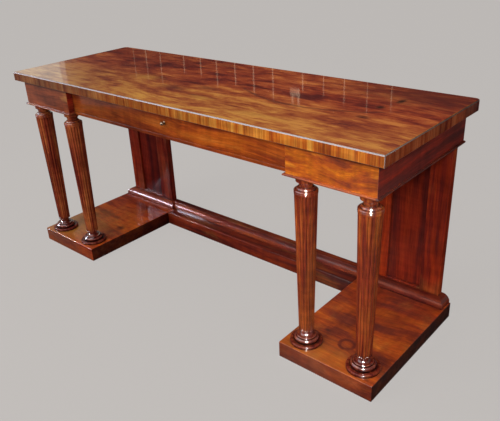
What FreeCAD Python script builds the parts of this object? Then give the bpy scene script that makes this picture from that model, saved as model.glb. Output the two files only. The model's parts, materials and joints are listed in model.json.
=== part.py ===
import FreeCAD, Part
import math
import os
import Sketcher

# Pier table: a long serving table on two plinth platforms. Each end has a pair of reeded
# columns in front and a panelled pilaster behind, and carries a frieze box that stands
# forward of one long frieze drawer. A moulded stretcher joins the platforms at the back.
#
# Frame: +X along the length, the front faces -Y, +Z up. The origin is on the floor under
# the middle of the top. Millimetres. The right end (+X) is drawn, and the left end mirrors it.

doc = FreeCAD.newDocument("PierTable")
sheet = doc.addObject("Spreadsheet::Sheet", "sizes")
pieces = []


# ---------------------------------------------------------------- sizes and expressions

class Size:
    """A number together with the sheet expression that gives it."""

    def __init__(self, number, text):
        self.number = number
        self.text = text

    def __add__(self, other):
        other = as_size(other)
        return Size(self.number + other.number, f"({self.text} + {other.text})")

    def __sub__(self, other):
        other = as_size(other)
        return Size(self.number - other.number, f"({self.text} - {other.text})")

    def __mul__(self, other):
        other = as_size(other)
        return Size(self.number * other.number, f"({self.text} * {other.text})")

    def __truediv__(self, other):
        other = as_size(other)
        return Size(self.number / other.number, f"({self.text} / {other.text})")

    def __neg__(self):
        return Size(-self.number, f"(-1 * {self.text})")

    def __radd__(self, other):
        return as_size(other) + self

    def __rsub__(self, other):
        return as_size(other) - self

    def __rmul__(self, other):
        return as_size(other) * self


def as_size(value):
    return value if isinstance(value, Size) else Size(float(value), f"{value}")


def size(alias, number):
    """Write one driving size to the sheet and return it as a bound value."""
    row = sheet_rows.pop(0)
    sheet.set(f"A{row}", alias)
    sheet.set(f"B{row}", str(number))
    sheet.setAlias(f"B{row}", alias)
    return Size(float(number), f"sizes.{alias}")


sheet_rows = list(range(1, 200))

# Overall
overall_height = size("overall_height", 900)
top_length = size("top_length", 1980)
top_depth = size("top_depth", 680)
top_thickness = size("top_thickness", 40)
crossband_thickness = size("crossband_thickness", 5)
top_edge_round = size("top_edge_round", 3.5)
back_corner_radius = size("back_corner_radius", 22)

# Frieze boxes at the two ends
end_overhang = size("end_overhang", 32)
front_overhang = size("front_overhang", 28)
back_overhang = size("back_overhang", 40)
frieze_height = size("frieze_height", 110)
frieze_box_width = size("frieze_box_width", 344)
rail_thickness = size("rail_thickness", 22)
nosing_thickness = size("nosing_thickness", 8)
nosing_projection = size("nosing_projection", 8)
nosing_round = size("nosing_round", 3.9)
head_block_depth = size("head_block_depth", 64)
head_block_height = size("head_block_height", 50)
glue_block_side = size("glue_block_side", 22)
glue_block_length = size("glue_block_length", 70)
glue_block_spacing = size("glue_block_spacing", 280)

# Middle of the frieze, which holds the drawer
drawer_recess = size("drawer_recess", 28)
bearer_width = size("bearer_width", 60)
bearer_thickness = size("bearer_thickness", 14)
bearer_drop = size("bearer_drop", 10)
kicker_thickness = size("kicker_thickness", 18)
runner_width = size("runner_width", 30)
stop_width = size("stop_width", 24)
stop_depth = size("stop_depth", 9.5)
stop_height = size("stop_height", 20)
stop_clearance = size("stop_clearance", 0.5)

# Drawer
drawer_gap = size("drawer_gap", 1.5)
drawer_face_gap = size("drawer_face_gap", 1)
drawer_top_gap = size("drawer_top_gap", 2)
run_clearance = size("run_clearance", 0.3)
drawer_front_thickness = size("drawer_front_thickness", 22)
drawer_side_thickness = size("drawer_side_thickness", 12)
drawer_back_thickness = size("drawer_back_thickness", 10)
drawer_back_drop = size("drawer_back_drop", 4)
drawer_bottom_thickness = size("drawer_bottom_thickness", 7)
drawer_bottom_lift = size("drawer_bottom_lift", 7)
groove_depth = size("groove_depth", 5)
groove_clearance = size("groove_clearance", 0.1)
muntin_width = size("muntin_width", 60)
muntin_lip = size("muntin_lip", 5)

# Knob
knob_radius = size("knob_radius", 8)
knob_projection = size("knob_projection", 19)
knob_neck_radius = size("knob_neck_radius", 3.5)
knob_neck_start = size("knob_neck_start", 4)
knob_neck_end = size("knob_neck_end", 8)
knob_rose_radius = size("knob_rose_radius", 6.5)
knob_rose_thickness = size("knob_rose_thickness", 2)
knob_stem_radius = size("knob_stem_radius", 2.5)
knob_nut_radius = size("knob_nut_radius", 6)
knob_nut_thickness = size("knob_nut_thickness", 4)
knob_stem_spare = size("knob_stem_spare", 2)

# Base
platform_height = size("platform_height", 66)
platform_outstand = size("platform_outstand", 32)
platform_instand = size("platform_instand", 24)
platform_frontstand = size("platform_frontstand", 28)
platform_edge_round = size("platform_edge_round", 3)
plinth_rail_width = size("plinth_rail_width", 110)
dowel_radius = size("dowel_radius", 6)
dowel_length = size("dowel_length", 70)
dowel_spacing = size("dowel_spacing", 56)
wood_clearance = size("wood_clearance", 0.1)

# Pilasters and mouldings
pilaster_setback = size("pilaster_setback", 20)
pilaster_thickness = size("pilaster_thickness", 34)
stile_width = size("stile_width", 82)
pilaster_top_rail = size("pilaster_top_rail", 40)
pilaster_bottom_rail = size("pilaster_bottom_rail", 44)
panel_thickness = size("panel_thickness", 12)
panel_recess = size("panel_recess", 10)
panel_tongue = size("panel_tongue", 8)
base_moulding_margin = size("base_moulding_margin", 6)
base_moulding_projection = size("base_moulding_projection", 36)
base_moulding_height = size("base_moulding_height", 36)
base_moulding_step = size("base_moulding_step", 10)
base_moulding_radius = size("base_moulding_radius", 33)
stretcher_height = size("stretcher_height", 32)
stretcher_edge_round = size("stretcher_edge_round", 2)
stretcher_moulding_projection = size("stretcher_moulding_projection", 20)
stretcher_moulding_height = size("stretcher_moulding_height", 30)
stretcher_moulding_step = size("stretcher_moulding_step", 8)
stretcher_moulding_radius = size("stretcher_moulding_radius", 22)

# Columns, from the foot up: heights are of each turned member, radii are at its edge
column_setback = size("column_setback", 72)
column_inset = size("column_inset", 77)
foot_radius = size("foot_radius", 62)
foot_height = size("foot_height", 12)
foot_round = size("foot_round", 4)
torus_lower_radius = size("torus_lower_radius", 42)
torus_upper_radius = size("torus_upper_radius", 41)
torus_height = size("torus_height", 16)
torus_curve = size("torus_curve", 9)
lower_bead_radius = size("lower_bead_radius", 35.5)
lower_bead_height = size("lower_bead_height", 6)
lower_bead_curve = size("lower_bead_curve", 3.4)
lower_cove_height = size("lower_cove_height", 4)
lower_cove_curve = size("lower_cove_curve", 12)
lower_neck_radius = size("lower_neck_radius", 20)
lower_neck_height = size("lower_neck_height", 8)
sweep_height = size("sweep_height", 12)
sweep_curve = size("sweep_curve", 12)
collar_radius = size("collar_radius", 28.7)
collar_height = size("collar_height", 2)
reed_count = size("reed_count", 18)
reed_lower_valley = size("reed_lower_valley", 26.3)
reed_upper_valley = size("reed_upper_valley", 37.6)
reed_lower_radius = size("reed_lower_radius", 5.6)
reed_upper_radius = size("reed_upper_radius", 8)
reed_backing = size("reed_backing", 3)
band_radius = size("band_radius", 41)
band_plain_height = size("band_plain_height", 5.6)
band_bead_height = size("band_bead_height", 3.2)
band_bead_curve = size("band_bead_curve", 2)
band_bead_gap = size("band_bead_gap", 3)
shoulder_height = size("shoulder_height", 3)
shoulder_inset = size("shoulder_inset", 7)
shoulder_curve = size("shoulder_curve", 8)
neck_ring_radius = size("neck_ring_radius", 33)
neck_ring_height = size("neck_ring_height", 8)
neck_ring_curve = size("neck_ring_curve", 9)
neck_radius = size("neck_radius", 24)
neck_height = size("neck_height", 5)
flare_radius = size("flare_radius", 35)
flare_height = size("flare_height", 15)
flare_curve = size("flare_curve", 16)
cap_height = size("cap_height", 20)
upper_tenon_radius = size("upper_tenon_radius", 12)
upper_tenon_length = size("upper_tenon_length", 44)
lower_tenon_radius = size("lower_tenon_radius", 14)
lower_tenon_length = size("lower_tenon_length", 40)

# Screws that hold the top
screw_radius = size("screw_radius", 2.5)
screw_head_radius = size("screw_head_radius", 5)
screw_head_height = size("screw_head_height", 3)
screw_length = size("screw_length", 42)
screw_spacing = size("screw_spacing", 480)

# Worked-out places that several pieces share
end_x = top_length / 2
front_y = -top_depth / 2
back_y = top_depth / 2
top_z = overall_height - top_thickness
frieze_z = top_z - frieze_height
nosing_z = frieze_z - nosing_thickness
box_out = end_x - end_overhang
box_in = box_out - frieze_box_width
box_front = front_y + front_overhang
box_back = back_y - back_overhang
drawer_face = box_front + drawer_recess
bearer_z = frieze_z - bearer_drop
run_z = bearer_z + bearer_thickness
kicker_z = top_z - kicker_thickness
back_rail_face = box_back - rail_thickness
platform_out = box_out + platform_outstand
platform_in = box_in - platform_instand
platform_front = box_front - platform_frontstand
platform_back = box_back - pilaster_setback
pilaster_out = platform_out - base_moulding_margin - base_moulding_projection
pilaster_in = platform_in + base_moulding_margin + base_moulding_projection
pilaster_front = platform_back - pilaster_thickness
column_y = platform_front + column_setback
column_x_out = platform_out - column_inset
column_x_in = platform_in + column_inset


# ---------------------------------------------------------------- drawing helpers

def bind(thing, prop, value):
    thing.setExpression(prop, as_size(value).text)


def keep(thing, label):
    """Name a finished sub-part and put it on the list that is written out."""
    thing.Label = label
    pieces.append(thing)
    return thing


def box(name, x, y, z):
    """A rectangular block from low to high along each axis."""
    block = doc.addObject("Part::Box", name)
    for side, axis, (low, high) in (("Length", "x", x), ("Width", "y", y), ("Height", "z", z)):
        bind(block, side, as_size(high) - low)
        bind(block, f"Placement.Base.{axis}", low)
    return block


def rod(name, radius, length, x, y, z, along="z"):
    """A cylinder that starts at x, y, z and runs along +Z, +X or +Y."""
    cylinder = doc.addObject("Part::Cylinder", name)
    bind(cylinder, "Radius", radius)
    bind(cylinder, "Height", length)
    turn = {"z": (0, 0, 0), "x": (0, 90, 0), "y": (0, 0, -90)}[along]
    cylinder.Placement.Rotation = FreeCAD.Rotation(*turn)
    for axis, value in (("x", x), ("y", y), ("z", z)):
        bind(cylinder, f"Placement.Base.{axis}", value)
    return cylinder


def group(name, members):
    compound = doc.addObject("Part::Compound", name)
    compound.Links = members
    return compound


def cut(name, base, tools):
    result = doc.addObject("Part::Cut", name)
    result.Base = base
    result.Tool = tools[0] if len(tools) == 1 else group(name + "_tools", tools)
    return result


def mirror(source, label, place=0):
    """The mirror image of a sub-part across the plane at X = place."""
    image = doc.addObject("Part::Mirroring", label)
    image.Source = source
    image.Normal = FreeCAD.Vector(1, 0, 0)
    bind(image, "Base.x", place)
    return keep(image, label)


def both_ends(part, name):
    """Keep a right-hand sub-part and its left-hand mirror image."""
    keep(part, "right_" + name)
    mirror(part, "left_" + name)
    return part


def new_body(name):
    return doc.addObject("PartDesign::Body", name)


def new_sketch(body, role, offset=None):
    """A sketch on one of the body's own origin planes, moved along its normal by offset."""
    plane = [feature for feature in body.Origin.OriginFeatures if feature.Role == role][0]
    sketch = body.newObject("Sketcher::SketchObject", body.Name + "_sketch")
    sketch.AttachmentSupport = [(plane, "")]
    sketch.MapMode = "FlatFace"
    if offset is not None:
        bind(sketch, "AttachmentOffset.Base.z", offset)
    return sketch


def fix(sketch, kind, first, value):
    """Add one dimension to a sketch and bind it to the sheet."""
    index = sketch.addConstraint(Sketcher.Constraint(kind, *first, as_size(value).number))
    bind(sketch, f"Constraints[{index}]", value)


def arc_between(start, end, radius):
    """Arc from start to end. It turns left with a positive radius and right with a negative."""
    chord = end - start
    middle = (start + end) * 0.5
    left = FreeCAD.Vector(-chord.y, chord.x, 0).normalize()
    rise = math.sqrt(radius * radius - chord.Length * chord.Length / 4)
    centre = middle + left * math.copysign(rise, radius)
    first, last = (start, end) if radius > 0 else (end, start)
    from_angle = math.atan2(first.y - centre.y, first.x - centre.x)
    to_angle = math.atan2(last.y - centre.y, last.x - centre.x)
    circle = Part.Circle(centre, FreeCAD.Vector(0, 0, 1), abs(radius))
    return Part.ArcOfCircle(circle, from_angle, to_angle)


def outline(sketch, corners):
    """A closed outline through corners (u, v), where (u, v, radius) starts an arc."""
    places = [FreeCAD.Vector(as_size(c[0]).number, as_size(c[1]).number, 0) for c in corners]
    ends = []
    for number, corner in enumerate(corners):
        start = places[number]
        end = places[(number + 1) % len(places)]
        if len(corner) == 3:
            radius = as_size(corner[2])
            edge = sketch.addGeometry(arc_between(start, end, radius.number))
            ends.append((edge, 1, 2) if radius.number > 0 else (edge, 2, 1))
            bound = radius if radius.number > 0 else -radius
            fix(sketch, "Radius", (edge,), bound)
        else:
            edge = sketch.addGeometry(Part.LineSegment(start, end))
            ends.append((edge, 1, 2))
    for number, corner in enumerate(corners):
        edge, start, end = ends[number]
        after, after_start, _ = ends[(number + 1) % len(ends)]
        sketch.addConstraint(Sketcher.Constraint("Coincident", edge, end, after, after_start))
        fix(sketch, "DistanceX", (-1, 1, edge, start), corner[0])
        fix(sketch, "DistanceY", (-1, 1, edge, start), corner[1])


def round_hole(sketch, u, v, radius):
    """A full circle, fixed by its centre and radius."""
    centre = FreeCAD.Vector(as_size(u).number, as_size(v).number, 0)
    circle = Part.Circle(centre, FreeCAD.Vector(0, 0, 1), as_size(radius).number)
    edge = sketch.addGeometry(circle)
    fix(sketch, "Radius", (edge,), radius)
    fix(sketch, "DistanceX", (-1, 1, edge, 3), u)
    fix(sketch, "DistanceY", (-1, 1, edge, 3), v)


def pad(body, sketch, length):
    feature = body.newObject("PartDesign::Pad", body.Name + "_pad")
    feature.Profile = sketch
    bind(feature, "Length", length)
    return feature


def prism(name, corners, low, high):
    """A body whose plan is the outline and which stands from low to high."""
    body = new_body(name)
    sketch = new_sketch(body, "XY_Plane", low)
    outline(sketch, corners)
    pad(body, sketch, as_size(high) - low)
    return body


def bore(body, role, offset, circles, depth):
    """Pocket round holes into a body, from offset against the plane's normal."""
    sketch = new_sketch(body, role, offset)
    for u, v, radius in circles:
        round_hole(sketch, u, v, radius)
    feature = body.newObject("PartDesign::Pocket", body.Name + "_bore")
    feature.Profile = sketch
    bind(feature, "Length", depth)
    return feature


def soften(body, radius, wanted):
    """Fillet the edges whose middle point and direction pass the test."""
    doc.recompute()
    base = body.Tip
    names = []
    for number, edge in enumerate(base.Shape.Edges, start=1):
        middle = edge.valueAt((edge.FirstParameter + edge.LastParameter) / 2)
        if wanted(middle, edge):
            names.append(f"Edge{number}")
    feature = body.newObject("PartDesign::Fillet", body.Name + "_soft")
    feature.Base = (base, names)
    bind(feature, "Radius", radius)
    return feature


same_place = 0.01


def near(number, value):
    return abs(number - as_size(value).number) < same_place


# ---------------------------------------------------------------- top

def make_top_board():
    """The show board. Its back corners are rounded, and end bands lie in its side rebates."""
    band_out = end_x - crossband_thickness
    band_end = back_y - back_corner_radius
    board = prism("show_board", [
        (-band_out, front_y + crossband_thickness),
        (band_out, front_y + crossband_thickness),
        (band_out, band_end),
        (end_x, band_end, back_corner_radius),
        (end_x - back_corner_radius, back_y),
        (-end_x + back_corner_radius, back_y, back_corner_radius),
        (-end_x, band_end),
        (-band_out, band_end),
    ], top_z, overall_height)
    rim = band_end.number + same_place
    soften(board, top_edge_round, lambda p, e: near(p.z, overall_height) and p.y > rim)
    pilots = []
    for x, y in screw_places():
        pilots.append(rod("pilot", screw_radius + wood_clearance,
                          screw_length - kicker_thickness + wood_clearance, x, y, top_z))
    keep(cut("show_board_drilled", board, pilots), "top_board")


def make_crossbands():
    """Cross-grained strips, mitred at the front corners, that edge the board."""
    inner = end_x - crossband_thickness
    front = prism("front_band", [
        (-end_x, front_y),
        (end_x, front_y),
        (inner, front_y + crossband_thickness),
        (-inner, front_y + crossband_thickness),
    ], top_z, overall_height)
    soften(front, top_edge_round, lambda p, e: near(p.z, overall_height) and near(p.y, front_y))
    keep(front, "top_front_crossband")
    side = prism("end_band", [
        (end_x, front_y),
        (end_x, back_y - back_corner_radius),
        (inner, back_y - back_corner_radius),
        (inner, front_y + crossband_thickness),
    ], top_z, overall_height)
    soften(side, top_edge_round, lambda p, e: near(p.z, overall_height) and near(p.x, end_x))
    keep(side, "top_right_crossband")
    mirror(side, "top_left_crossband")


# ---------------------------------------------------------------- frieze boxes

def make_frieze_box():
    """Mitred rails, the nosed board under them and the block that takes the columns."""
    inside_out = box_out - rail_thickness
    inside_in = box_in + rail_thickness
    inside_front = box_front + rail_thickness
    both_ends(prism("frieze_front", [
        (box_in, box_front),
        (box_out, box_front),
        (inside_out, inside_front),
        (inside_in, inside_front),
    ], frieze_z, top_z), "frieze_front")
    both_ends(prism("frieze_outer", [
        (box_out, box_front),
        (box_out, box_back),
        (inside_out, box_back),
        (inside_out, inside_front),
    ], frieze_z, top_z), "frieze_outer")
    both_ends(prism("frieze_inner", [
        (box_in, box_front),
        (inside_in, inside_front),
        (inside_in, back_rail_face),
        (box_in, back_rail_face),
    ], frieze_z, top_z), "frieze_inner")
    both_ends(make_nosing_board(), "nosing_board")
    block = prism("head_block", [
        (inside_in, inside_front),
        (inside_out, inside_front),
        (inside_out, inside_front + head_block_depth),
        (inside_in, inside_front + head_block_depth),
    ], frieze_z, frieze_z + head_block_height)
    sockets = [(x, column_y, upper_tenon_radius + wood_clearance) for x in (column_x_in, column_x_out)]
    depth = upper_tenon_length - nosing_thickness + wood_clearance
    bore(block, "XY_Plane", frieze_z + depth, sockets, depth)
    both_ends(block, "head_block")


def make_nosing_board():
    """The board under a frieze box. Its rounded edge stands out at the front and both sides."""
    nose_front = box_front - nosing_projection
    nose_out = box_out + nosing_projection
    nose_in = box_in - nosing_projection
    board = prism("nosing_board", [
        (nose_in, nose_front),
        (nose_out, nose_front),
        (nose_out, box_back),
        (box_in, box_back),
        (box_in, drawer_face),
        (nose_in, drawer_face),
    ], nosing_z, frieze_z)
    sockets = [(x, column_y, upper_tenon_radius + wood_clearance) for x in (column_x_in, column_x_out)]
    bore(board, "XY_Plane", frieze_z, sockets, nosing_thickness)
    soften(board, nosing_round, lambda p, e: (
        (near(p.z, frieze_z) or near(p.z, nosing_z))
        and (near(p.y, nose_front) or near(p.x, nose_out) or near(p.x, nose_in))
    ))
    return board


def make_glue_blocks():
    """Blocks rubbed into the corners between the end rails and the top."""
    blocks = []
    low = top_z - glue_block_side
    middle = (box_back + box_front) / 2
    for side in (1, -1):
        for x in (box_in + rail_thickness, box_out - rail_thickness - glue_block_side):
            for step in (-0.5, 0.5):
                y = middle + glue_block_spacing * step - glue_block_length / 2
                span = (x, x + glue_block_side)
                if side < 0:
                    span = (-span[1], -span[0])
                blocks.append(box("glue_block", span, (y, y + glue_block_length), (low, top_z)))
    keep(group("glue_block_group", blocks), "glue_blocks")


# ---------------------------------------------------------------- drawer opening

def screw_places():
    """Plan positions of the screws that come up through the kicker rail and side kickers."""
    front = drawer_face + drawer_front_thickness + drawer_face_gap + bearer_width / 2
    side = box_in - runner_width / 2
    rear = back_rail_face - bearer_width
    return [(-screw_spacing, front), (0, front), (screw_spacing, front), (side, rear), (-side, rear)]


def screw_hole(x, y):
    """The clearance hole and countersink of one top screw."""
    shank = rod("clearance", screw_radius + wood_clearance, kicker_thickness, x, y, kicker_z)
    sink = doc.addObject("Part::Cone", "countersink")
    bind(sink, "Radius1", screw_head_radius + wood_clearance)
    bind(sink, "Radius2", screw_radius + wood_clearance)
    bind(sink, "Height", screw_head_height)
    bind(sink, "Placement.Base.x", x)
    bind(sink, "Placement.Base.y", y)
    bind(sink, "Placement.Base.z", kicker_z)
    hole = doc.addObject("Part::Fuse", "screw_hole")
    hole.Base = shank
    hole.Tool = sink
    return hole


def make_drawer_opening():
    """The rails, runners, kickers and stops that carry and guide the drawer."""
    keep(box("back_rail_box", (-box_out + rail_thickness, box_out - rail_thickness),
             (back_rail_face, box_back), (frieze_z, top_z)), "back_rail")
    bearer_back = drawer_face + bearer_width
    keep(box("bearer", (-box_in, box_in), (drawer_face, bearer_back), (bearer_z, run_z)),
         "drawer_bearer")
    kicker_front = drawer_face + drawer_front_thickness + drawer_face_gap
    kicker_back = kicker_front + bearer_width
    holes = [screw_hole(x, y) for x, y in screw_places()]
    plank = box("kicker_plank", (-box_in, box_in), (kicker_front, kicker_back), (kicker_z, top_z))
    keep(cut("kicker_rail_cut", plank, holes[:3]), "kicker_rail")
    strips = {
        "left": (-box_in, -box_in + runner_width),
        "middle": (-runner_width / 2, runner_width / 2),
        "right": (box_in - runner_width, box_in),
    }
    runners = [box(side + "_runner", span, (bearer_back, back_rail_face), (bearer_z, run_z))
               for side, span in strips.items()]
    keep(group("runner_group", runners), "drawer_runners")
    kickers = []
    for side, span in strips.items():
        strip = box(side + "_kicker", span, (kicker_back, back_rail_face), (kicker_z, top_z))
        drilled = {"left": holes[4:], "right": holes[3:4]}.get(side)
        kickers.append(cut(side + "_kicker_cut", strip, drilled) if drilled else strip)
    keep(group("kicker_group", kickers), "drawer_kickers")
    stop_face = back_rail_face - stop_depth
    stops = []
    for low, high in ((box_in - stop_width, box_in), (-box_in, -box_in + stop_width)):
        stops.append(box("stop", (low, high), (stop_face, back_rail_face), (run_z, run_z + stop_height)))
    keep(group("stop_group", stops), "drawer_stops")


def make_top_screws():
    """Countersunk screws, driven up through the kickers into the top."""
    screws = []
    for x, y in screw_places():
        body = new_body("top_screw")
        sketch = new_sketch(body, "XZ_Plane")
        outline(sketch, [
            (0, 0),
            (screw_head_radius, 0),
            (screw_radius, screw_head_height),
            (screw_radius, screw_length),
            (0, screw_length),
        ])
        spin(body, sketch)
        bind(body, "Placement.Base.x", x)
        bind(body, "Placement.Base.y", y)
        bind(body, "Placement.Base.z", kicker_z)
        screws.append(body)
    keep(group("screw_group", screws), "top_screws")


def spin(body, sketch):
    """Revolve a half profile about the sketch's vertical axis."""
    feature = body.newObject("PartDesign::Revolution", body.Name + "_turned")
    feature.Profile = sketch
    feature.ReferenceAxis = (sketch, ["V_Axis"])
    feature.Angle = 360
    return feature


# ---------------------------------------------------------------- drawer

def make_drawer():
    """A long drawer: grooved front and sides, a back, a muntin and two bottom boards."""
    out = box_in - drawer_gap
    side_in = out - drawer_side_thickness
    low = run_z + run_clearance
    high = kicker_z - drawer_top_gap
    front_back = drawer_face + drawer_front_thickness
    end = back_rail_face - stop_depth - stop_clearance
    bottom_low = low + drawer_bottom_lift
    bottom_high = bottom_low + drawer_bottom_thickness
    groove = (bottom_low - groove_clearance, bottom_high + groove_clearance)
    muntin_edge = muntin_width / 2
    tongue = groove_depth - groove_clearance

    front = box("drawer_front_board", (-out, out), (drawer_face, front_back),
                (run_z + drawer_face_gap, top_z - drawer_top_gap))
    front_groove = box("front_groove", (-side_in - groove_depth, side_in + groove_depth),
                       (front_back - groove_depth, front_back), groove)
    stem_hole = rod("stem_hole", knob_stem_radius + wood_clearance, drawer_front_thickness,
                    0, drawer_face, knob_height(), along="y")
    keep(cut("drawer_front_cut", front, [front_groove, stem_hole]), "drawer_front")

    side = box("drawer_side_board", (side_in, out), (front_back, end), (low, high))
    side_groove = box("side_groove", (side_in, side_in + groove_depth), (front_back, end), groove)
    right = keep(cut("drawer_side_cut", side, [side_groove]), "drawer_right_side")
    mirror(right, "drawer_left_side")

    keep(box("drawer_back_board", (-side_in, side_in), (end - drawer_back_thickness, end),
             (groove[1], high - drawer_back_drop)), "drawer_back")

    muntin = box("muntin_bar", (-muntin_edge, muntin_edge), (front_back, end - drawer_back_thickness),
                 (low, bottom_high + muntin_lip))
    muntin_grooves = []
    for span in ((muntin_edge - groove_depth, muntin_edge), (-muntin_edge, -muntin_edge + groove_depth)):
        muntin_grooves.append(box("muntin_groove", span, (front_back, end), groove))
    keep(cut("muntin_cut", muntin, muntin_grooves), "drawer_muntin")

    board = box("bottom_board", (muntin_edge - tongue, side_in + tongue),
                (front_back - tongue, end), (bottom_low, bottom_high))
    keep(board, "drawer_right_bottom")
    mirror(board, "drawer_left_bottom")


def knob_height():
    """The knob sits at the middle of the drawer front."""
    return (run_z + drawer_face_gap + top_z - drawer_top_gap) / 2


def make_knob():
    """A small turned brass knob on a threaded stem, and the nut inside the drawer."""
    reach = drawer_front_thickness + knob_nut_thickness + knob_stem_spare
    body = new_body("knob_turning")
    sketch = new_sketch(body, "XZ_Plane")
    outline(sketch, [
        (0, -reach),
        (knob_stem_radius, -reach),
        (knob_stem_radius, 0),
        (knob_rose_radius, 0),
        (knob_rose_radius, knob_rose_thickness),
        (knob_neck_radius, knob_neck_start),
        (knob_neck_radius, knob_neck_end),
        (knob_radius, knob_projection - knob_radius, knob_radius),
        (0, knob_projection),
    ])
    spin(body, sketch)
    body.Placement.Rotation = FreeCAD.Rotation(FreeCAD.Vector(1, 0, 0), 90)
    bind(body, "Placement.Base.y", drawer_face)
    bind(body, "Placement.Base.z", knob_height())
    keep(body, "drawer_knob")
    inner_face = drawer_face + drawer_front_thickness
    nut = rod("nut_blank", knob_nut_radius, knob_nut_thickness, 0, inner_face, knob_height(), along="y")
    hole = rod("nut_hole", knob_stem_radius + wood_clearance / 2, knob_nut_thickness,
               0, inner_face, knob_height(), along="y")
    keep(cut("nut_cut", nut, [hole]), "knob_nut")


# ---------------------------------------------------------------- columns

def column_profile(total):
    """Half section of a column, from the tenon in the platform to the tenon in the frieze."""
    profile = []
    level = as_size(0)

    def step(radius, rise=0, curve=None):
        nonlocal level
        level = level + rise
        profile.append((radius, level) if curve is None else (radius, level, curve))

    profile.append((0, -lower_tenon_length))
    profile.append((lower_tenon_radius, -lower_tenon_length))
    step(lower_tenon_radius)
    step(foot_radius)
    step(foot_radius, foot_height - foot_round, foot_round)
    step(foot_radius - foot_round, foot_round)
    step(torus_lower_radius, 0, torus_curve)
    step(torus_upper_radius, torus_height)
    step(lower_bead_radius, 0, lower_bead_curve)
    step(lower_bead_radius, lower_bead_height, -lower_cove_curve)
    step(lower_neck_radius, lower_cove_height)
    step(lower_neck_radius, lower_neck_height, -sweep_curve)
    step(collar_radius, sweep_height)
    step(collar_radius, collar_height)
    shaft_low = level
    band_height = band_plain_height + band_bead_height * 2 + band_bead_gap
    band_low = total - (cap_height + flare_height + neck_height + neck_ring_height
                        + shoulder_height + band_height)
    step(reed_lower_valley - reed_backing)
    level = band_low
    step(reed_upper_valley - reed_backing)
    step(band_radius)
    step(band_radius, band_plain_height, band_bead_curve)
    step(band_radius, band_bead_height)
    step(band_radius, band_bead_gap, band_bead_curve)
    step(band_radius, band_bead_height, shoulder_curve)
    step(band_radius - shoulder_inset, shoulder_height)
    step(neck_ring_radius, 0, neck_ring_curve)
    step(neck_radius, neck_ring_height)
    step(neck_radius, neck_height, -flare_curve)
    step(flare_radius, flare_height)
    step(flare_radius, cap_height)
    step(upper_tenon_radius)
    step(upper_tenon_radius, upper_tenon_length)
    profile.append((0, level))
    return profile, shaft_low, band_low


def reeded_outline(sketch, valley, radius):
    """The shaft's section at one height: reeds side by side, each one an arc between two valleys."""
    corners = []
    count = round(reed_count.number)
    for number in range(count):
        angle = 2 * math.pi * (number - 0.5) / count
        corners.append((valley * math.cos(angle), valley * math.sin(angle), radius))
    outline(sketch, corners)


def make_column(label, x):
    """A turned column, whose reeded shaft tapers down to a moulded foot."""
    body = new_body(label + "_turning")
    profile, shaft_low, band_low = column_profile(nosing_z - platform_height)
    sketch = new_sketch(body, "XZ_Plane")
    outline(sketch, profile)
    spin(body, sketch)
    lower = new_sketch(body, "XY_Plane", shaft_low)
    reeded_outline(lower, reed_lower_valley, reed_lower_radius)
    upper = new_sketch(body, "XY_Plane", band_low)
    reeded_outline(upper, reed_upper_valley, reed_upper_radius)
    shaft = body.newObject("PartDesign::AdditiveLoft", body.Name + "_reeds")
    shaft.Profile = lower
    shaft.Sections = [upper]
    shaft.Ruled = True
    bind(body, "Placement.Base.x", x)
    bind(body, "Placement.Base.y", column_y)
    bind(body, "Placement.Base.z", platform_height)
    keep(body, label)


def make_columns():
    """Four columns alike, a pair at each end."""
    make_column("left_outer_column", -column_x_out)
    make_column("left_inner_column", -column_x_in)
    make_column("right_inner_column", column_x_in)
    make_column("right_outer_column", column_x_out)


# ---------------------------------------------------------------- pilasters and mouldings

def make_pilaster():
    """A framed panel at the back of each end, from the platform to the nosing board."""
    foot = platform_height
    head = nosing_z
    depth = (pilaster_front, platform_back)
    panel_face = pilaster_front + panel_recess
    stile_in = pilaster_in + stile_width
    stile_out = pilaster_out - stile_width
    rail_low = foot + pilaster_bottom_rail
    rail_high = head - pilaster_top_rail
    tongue_room = panel_tongue + wood_clearance
    slot = box("panel_slot", (stile_in - tongue_room, stile_out + tongue_room),
               (panel_face - wood_clearance, panel_face + panel_thickness + wood_clearance),
               (rail_low - tongue_room, rail_high + tongue_room))
    members = (
        ("pilaster_inner_stile", (pilaster_in, stile_in), (foot, head)),
        ("pilaster_outer_stile", (stile_out, pilaster_out), (foot, head)),
        ("pilaster_bottom_rail", (stile_in, stile_out), (foot, rail_low)),
        ("pilaster_top_rail", (stile_in, stile_out), (rail_high, head)),
    )
    for name, x, z in members:
        both_ends(cut(name + "_cut", box(name + "_blank", x, depth, z), [slot]), name)
    both_ends(box("panel_board", (stile_in - panel_tongue, stile_out + panel_tongue),
                  (panel_face, panel_face + panel_thickness),
                  (rail_low - panel_tongue, rail_high + panel_tongue)), "pilaster_panel")


def moulding_run(name, role, low, high, face, away, foot, height, step_height, radius):
    """A length of moulding whose section stands between face and away."""
    body = new_body(name)
    sketch = new_sketch(body, role, low)
    turn = radius if as_size(away).number < as_size(face).number else -radius
    outline(sketch, [
        (face, foot),
        (face, foot + height, turn),
        (away, foot + step_height),
        (away, foot),
    ])
    pad(body, sketch, as_size(high) - low)
    return body


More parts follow.
